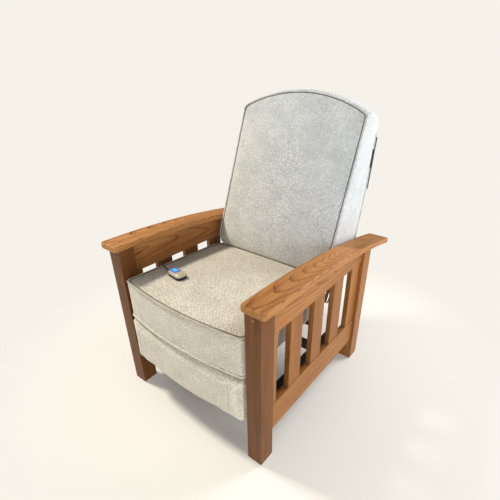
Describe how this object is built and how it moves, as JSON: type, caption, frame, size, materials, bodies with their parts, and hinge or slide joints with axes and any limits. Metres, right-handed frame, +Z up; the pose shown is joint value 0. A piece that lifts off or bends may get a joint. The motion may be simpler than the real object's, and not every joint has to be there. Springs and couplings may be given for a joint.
{
  "type": "power reclining armchair",
  "caption": "Mission style reclining armchair with slatted wooden side frames, bowed arms, an arched upholstered back, a folding footrest and a wired handset on the seat",
  "frame": {"origin": "on the floor, under the middle of the chair's overall width and depth", "axes": "+Z up, the chair faces -Y, +X to the sitter's left"},
  "size_m": [0.7326, 0.877, 1.1066],
  "materials": {
    "wood": "medium brown stained oak, satin lacquer",
    "plug_wood": "end grain plugs, satin lacquer",
    "black_steel": "black satin powder coat",
    "plated_steel": "zinc plate",
    "black_plastic": "fine grained black",
    "black_motor": "black paint",
    "tube_aluminium": "drawn aluminium",
    "cord_rubber": "black cable jacket",
    "board": "unfinished plywood",
    "felt": "grey needled felt",
    "webbing": "elastic webbing",
    "upholstery": "light beige basket weave",
    "welt_fabric": "welt of the same weave",
    "dark_fabric": "dark fabric strip",
    "champagne_plastic": "champagne metallic plastic",
    "keypad_plastic": "grey plastic",
    "button_plastic": "cyan lit buttons"
  },
  "bodies": {
    "chair": {"actuator_gearbox": "black_plastic", "actuator_motor": "black_motor", "actuator_tube": "tube_aluminium", "arm_left": "wood", "arm_right": "wood", "base_bolts": "plated_steel", "base_cross_rails": "black_steel", "base_rails": "black_steel", "control_box": "black_plastic", "deck_pad": "felt", "end_stiles": "wood", "handset_cord": "cord_rubber", "lower_rail_left": "wood", "lower_rail_right": "wood", "pivot_pins": "plated_steel", "post_front_left": "wood", "post_front_right": "wood", "post_rear_left": "wood", "post_rear_right": "wood", "power_inlet": "black_plastic", "seat_boards": "board", "seat_borders": "upholstery", "seat_cushion": "upholstery", "seat_rails": "black_steel", "seat_springs": "plated_steel", "seat_welt": "welt_fabric", "slats_left": "wood", "slats_right": "wood", "spring_clips": "black_plastic", "stabiliser_tube": "black_steel", "tube_bushes": "black_plastic", "upper_rail_left": "wood", "upper_rail_right": "wood", "uprights": "black_steel", "wood_plugs": "plug_wood"},
    "back": {"back_cushion": "upholstery", "back_welt": "welt_fabric", "back_stiles": "board", "back_rails": "board", "back_straps": "webbing", "back_borders": "upholstery", "back_outer_panel": "upholstery", "closing_strips": "dark_fabric", "back_brackets": "black_steel"},
    "lower_links": {"lower_link_bars": "black_steel", "knee_rivets": "plated_steel", "torque_bar": "black_steel"},
    "upper_links": {"upper_link_bars": "black_steel", "footrest_rivets": "plated_steel"},
    "ottoman": {"footrest_pad": "upholstery", "footrest_board": "board", "footrest_brackets": "black_steel"},
    "rod": {"actuator_rod": "plated_steel", "clevis_pin": "plated_steel"},
    "handset": {"handset_base": "black_plastic", "handset_shell": "champagne_plastic", "keypad_plate": "keypad_plastic", "strain_relief": "black_plastic"},
    "button_recline_key": {"button_recline": "button_plastic"},
    "button_return_key": {"button_return": "button_plastic"}
  },
  "joints": [
    {"name": "back_recline", "type": "hinge", "parent": "chair", "child": "back", "pos_m": [0, 0.0965, 0.39], "axis": [-1, 0, 0], "range_deg": [0, 25]},
    {"name": "lower_fold", "type": "hinge", "parent": "chair", "child": "lower_links", "pos_m": [0, -0.29599, 0.335], "axis": [-1, 0, 0], "range_deg": [0, 65]},
    {"name": "upper_fold", "type": "hinge", "parent": "lower_links", "child": "upper_links", "pos_m": [0, -0.32724, 0.15773], "axis": [1, 0, 0], "range_deg": [0, 130]},
    {"name": "footrest_turn", "type": "hinge", "parent": "upper_links", "child": "ottoman", "pos_m": [0, -0.3585, 0.335], "axis": [-1, 0, 0], "range_deg": [0, 150]},
    {"name": "rod_slide", "type": "slide", "parent": "chair", "child": "rod", "axis": [0, -1, 0], "range_m": [0, 0.08919]},
    {"name": "handset_lift", "type": "slide", "parent": "chair", "child": "handset", "axis": [0, 0, 1], "range_m": [0, 0.06]},
    {"name": "recline_press", "type": "slide", "parent": "handset", "child": "button_recline_key", "axis": [0.0706, 0.0019, -0.9975], "range_m": [0, 0.001], "stiffness_N_per_m": 300},
    {"name": "return_press", "type": "slide", "parent": "handset", "child": "button_return_key", "axis": [0.0706, 0.0019, -0.9975], "range_m": [0, 0.001], "stiffness_N_per_m": 300}
  ],
  "couplings": [
    {"joint": "lower_fold", "follows": "back_recline", "ratio": 2.6},
    {"joint": "upper_fold", "follows": "back_recline", "ratio": 5.2},
    {"joint": "footrest_turn", "follows": "back_recline", "ratio": 6},
    {"joint": "rod_slide", "follows": "back_recline", "m_per_rad": 0.20441}
  ]
}
